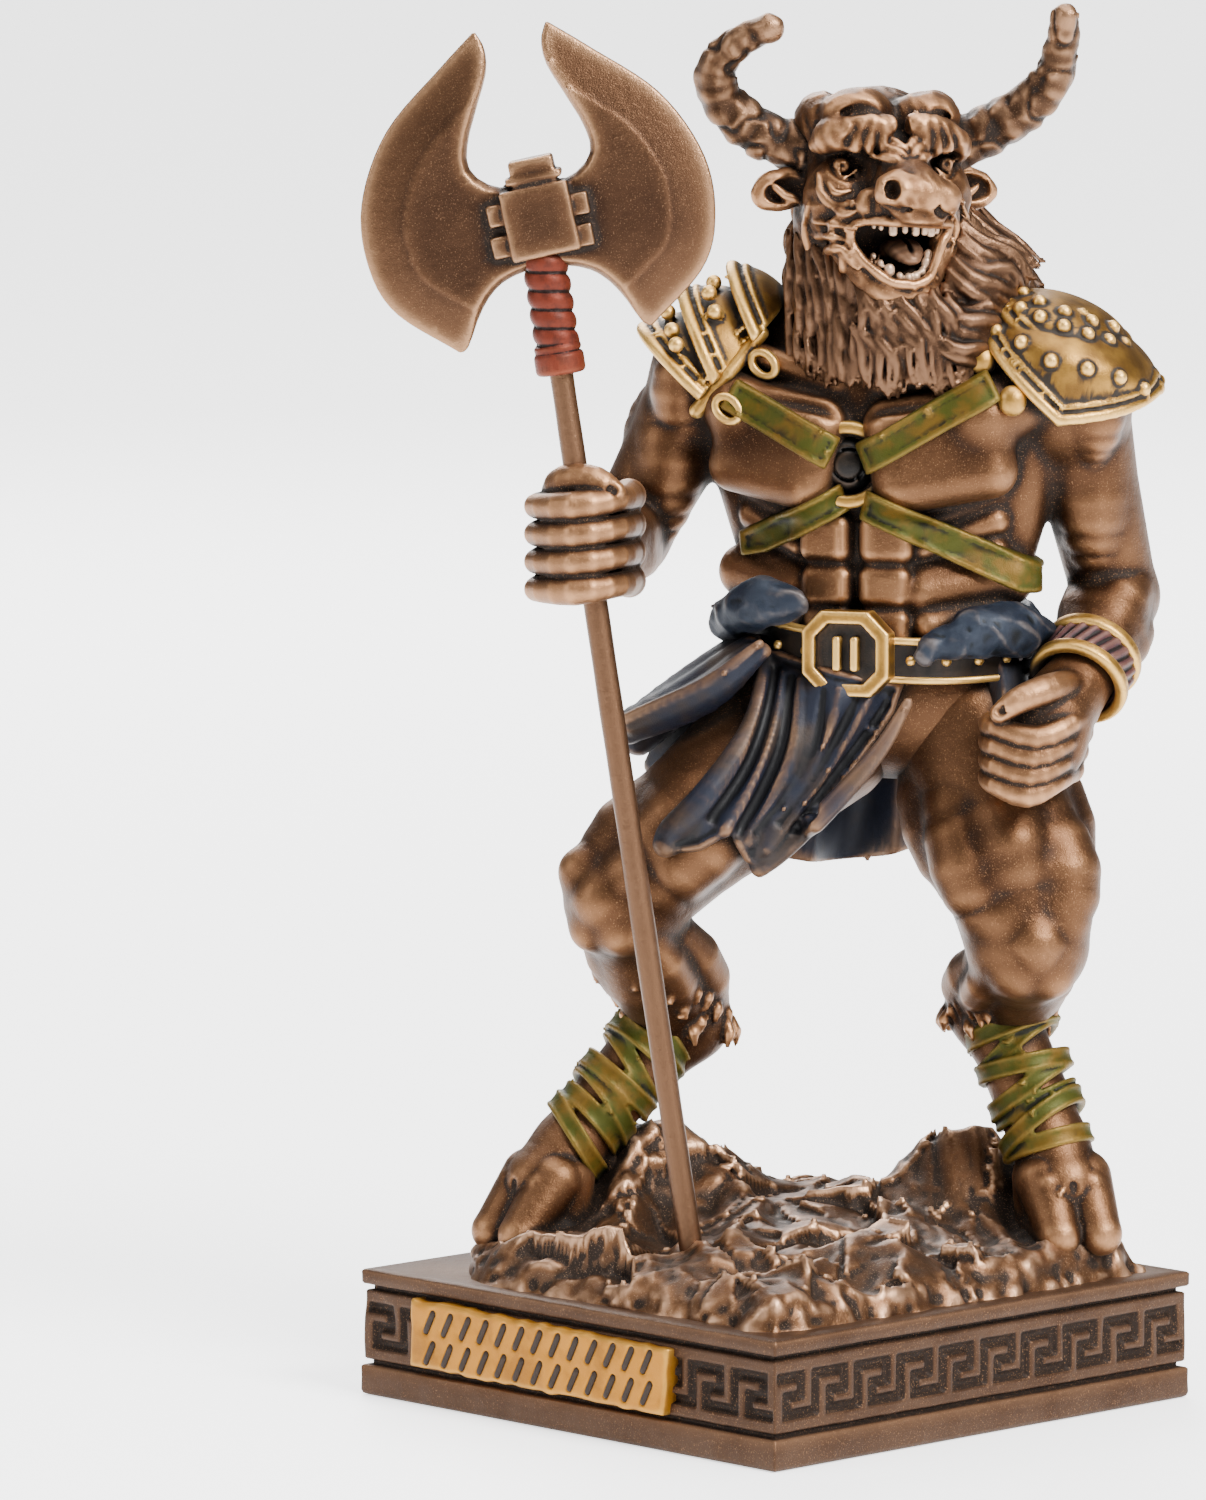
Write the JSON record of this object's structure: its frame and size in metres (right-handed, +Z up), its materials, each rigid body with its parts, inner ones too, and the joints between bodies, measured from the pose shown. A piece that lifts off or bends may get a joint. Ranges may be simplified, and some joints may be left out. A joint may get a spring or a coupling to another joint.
{
  "type": "minotaur figurine",
  "caption": "Standing bull-headed warrior figurine on a rock over a square key-patterned plinth, one fist closed round the shaft of a tall double-bladed axe.",
  "frame": {"origin": "centre of the plinth's underside", "axes": "+Z up, the plate side of the plinth faces -Y, the warrior faces the corner between -Y and +X"},
  "size_m": [0.0431, 0.0487, 0.0949],
  "materials": {
    "aged_bronze": "cast resin filled with bronze powder, dark wash in the hollows, rubbed bright on the ridges, with painted trims",
    "brown_metal": "brown bronze-coloured metallic paint, satin"
  },
  "bodies": {
    "root": {"minotaur": "aged_bronze", "axe": "brown_metal"}
  },
  "joints": []
}
